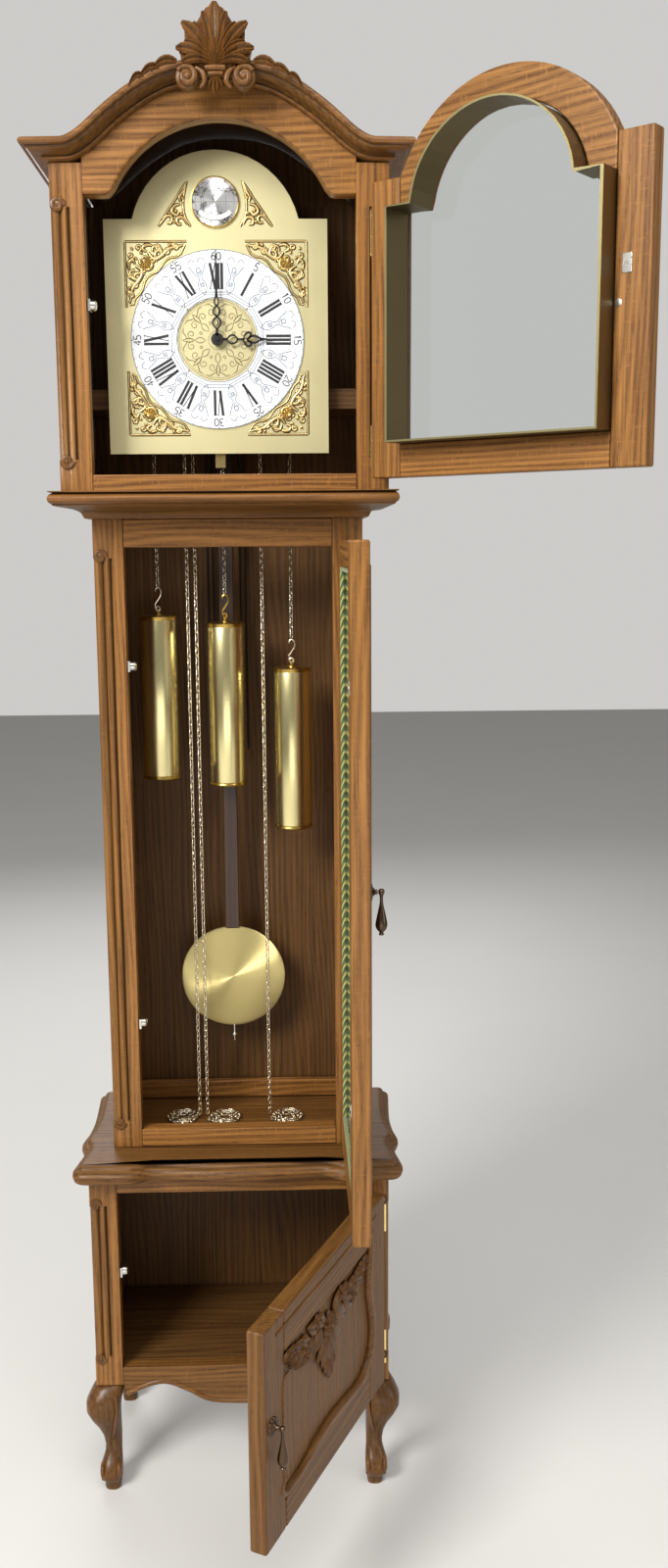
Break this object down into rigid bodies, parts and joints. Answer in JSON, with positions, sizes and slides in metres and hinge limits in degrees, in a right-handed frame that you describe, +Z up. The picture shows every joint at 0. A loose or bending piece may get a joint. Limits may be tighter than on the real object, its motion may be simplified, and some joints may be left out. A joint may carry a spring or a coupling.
{
  "type": "grandfather clock",
  "caption": "Floor-standing pendulum clock in a carved oak case with arched hood, glazed doors, hanging weights on chains and short scrolled legs.",
  "frame": {"origin": "middle of the footprint of the whole clock with its doors open, on the floor under the feet", "axes": "+Z up, +Y towards the back of the case, -Y out of the dial, +X towards the hinged side of the doors"},
  "size_m": [0.7028, 0.5752, 1.9047],
  "materials": {
    "oak": "satin lacquered oak",
    "carved_oak": "satin lacquered carved oak",
    "plywood": "matt veneered board",
    "dark_wood": "satin",
    "brass": "brushed",
    "dial_brass": "fine brushed",
    "silvered": "silvered",
    "aged_brass": "satin",
    "black": "black enamel",
    "bronze": "aged bronze",
    "steel": "plated",
    "glass": "clear"
  },
  "bodies": {
    "case": {"base_front_frame": "oak", "base_carcass": "oak", "base_top": "oak", "trunk_front_frame": "oak", "trunk_carcass": "oak", "waist_moulding": "oak", "hood_front_frame": "oak", "hood_carcass": "oak", "cornice": "oak", "leg_front_left": "carved_oak", "leg_front_right": "carved_oak", "leg_back_left": "carved_oak", "leg_back_right": "carved_oak", "finial_carving": "carved_oak", "base_floor": "plywood", "hood_roof": "plywood", "seat_board": "plywood", "movement_frame": "brass", "hood_hinge_upper": "brass", "hood_hinge_lower": "brass", "trunk_hinge_upper": "brass", "trunk_hinge_lower": "brass", "base_hinge_upper": "brass", "base_hinge_lower": "brass", "dial_plate": "dial_brass", "chapter_ring": "silvered", "globe_disc": "silvered", "chime_rods": "black", "free_chain_left": "steel", "free_chain_middle": "steel", "free_chain_right": "steel", "hood_catch": "steel", "trunk_catch_upper": "steel", "trunk_catch_lower": "steel", "base_catch": "steel"},
    "hood_door": {"hood_door_frame": "oak", "hood_door_glass": "glass", "hood_door_liner": "aged_brass"},
    "trunk_door": {"trunk_door_frame": "oak", "trunk_door_glass": "glass", "trunk_door_rosette": "bronze"},
    "trunk_drop": {"trunk_door_drop": "bronze"},
    "base_door": {"base_door_frame": "oak", "base_door_panel": "carved_oak", "base_door_rosette": "bronze"},
    "base_drop": {"base_door_drop": "bronze"},
    "pendulum": {"pendulum_rod": "dark_wood", "pendulum_bob": "brass"},
    "minute_hand": {"minute_hand": "black"},
    "hour_hand": {"hour_hand": "black"},
    "weight_left": {"weight_left": "brass", "weight_chain_left": "steel"},
    "weight_middle": {"weight_middle": "brass", "weight_chain_middle": "steel"},
    "weight_right": {"weight_right": "brass", "weight_chain_right": "steel"},
    "chain_wheel_left": {"chain_wheel_left": "brass"},
    "chain_wheel_middle": {"chain_wheel_middle": "brass"},
    "chain_wheel_right": {"chain_wheel_right": "brass"}
  },
  "joints": [
    {"name": "hood_door", "type": "hinge", "parent": "case", "child": "hood_door", "pos_m": [0.06362, 0.0456, 0], "axis": [0, 0, 1], "range_deg": [-140, 5]},
    {"name": "trunk_door", "type": "hinge", "parent": "case", "child": "trunk_door", "pos_m": [0.03102, 0.0826, 0], "axis": [0, 0, 1], "range_deg": [-90.6, 49.4]},
    {"name": "base_door", "type": "hinge", "parent": "case", "child": "base_door", "pos_m": [0.06902, 0.0486, 0], "axis": [0, 0, 1], "range_deg": [-64.5, 75.5]},
    {"name": "trunk_drop_swing", "type": "hinge", "parent": "trunk_door", "child": "trunk_drop", "pos_m": [0.05837, -0.18963, 0.912], "axis": [0.0105, -0.9999, 0], "range_deg": [-8, 80]},
    {"name": "base_drop_swing", "type": "hinge", "parent": "base_door", "child": "base_drop", "pos_m": [-0.05869, -0.27605, 0.314], "axis": [-0.4305, -0.9026, 0], "range_deg": [-8, 80]},
    {"name": "pendulum_swing", "type": "hinge", "parent": "case", "child": "pendulum", "pos_m": [-0.12888, 0.2286, 1.585], "axis": [0, 1, 0], "range_deg": [-3, 3]},
    {"name": "minute_hand_turn", "type": "hinge", "parent": "case", "child": "minute_hand", "pos_m": [-0.12888, 0.1231, 1.5508], "axis": [0, 1, 0], "continuous": true},
    {"name": "hour_hand_turn", "type": "hinge", "parent": "case", "child": "hour_hand", "pos_m": [-0.12888, 0.1271, 1.5508], "axis": [0, 1, 0], "continuous": true},
    {"name": "weight_left_slide", "type": "slide", "parent": "case", "child": "weight_left", "axis": [0, 0, 1], "range_m": [-0.46, 0.2], "deforming": ["weight_chain_left"]},
    {"name": "weight_middle_slide", "type": "slide", "parent": "case", "child": "weight_middle", "axis": [0, 0, 1], "range_m": [-0.45, 0.195], "deforming": ["weight_chain_middle"]},
    {"name": "weight_right_slide", "type": "slide", "parent": "case", "child": "weight_right", "axis": [0, 0, 1], "range_m": [-0.39, 0.27], "deforming": ["weight_chain_right"]},
    {"name": "chain_wheel_left_turn", "type": "hinge", "parent": "case", "child": "chain_wheel_left", "pos_m": [-0.19888, 0.1846, 1.525], "axis": [0, 1, 0], "range_deg": [-1323, 578]},
    {"name": "chain_wheel_middle_turn", "type": "hinge", "parent": "case", "child": "chain_wheel_middle", "pos_m": [-0.14838, 0.1846, 1.525], "axis": [0, 1, 0], "range_deg": [-578, 1328]},
    {"name": "chain_wheel_right_turn", "type": "hinge", "parent": "case", "child": "chain_wheel_right", "pos_m": [-0.05938, 0.1846, 1.525], "axis": [0, 1, 0], "range_deg": [-799, 1151]}
  ],
  "couplings": [
    {"joint": "hour_hand_turn", "follows": "minute_hand_turn", "ratio": 0.083333},
    {"joint": "chain_wheel_left_turn", "follows": "weight_left_slide", "rad_per_m": 50},
    {"joint": "chain_wheel_middle_turn", "follows": "weight_middle_slide", "rad_per_m": -51.282},
    {"joint": "chain_wheel_right_turn", "follows": "weight_right_slide", "rad_per_m": -51.282}
  ]
}
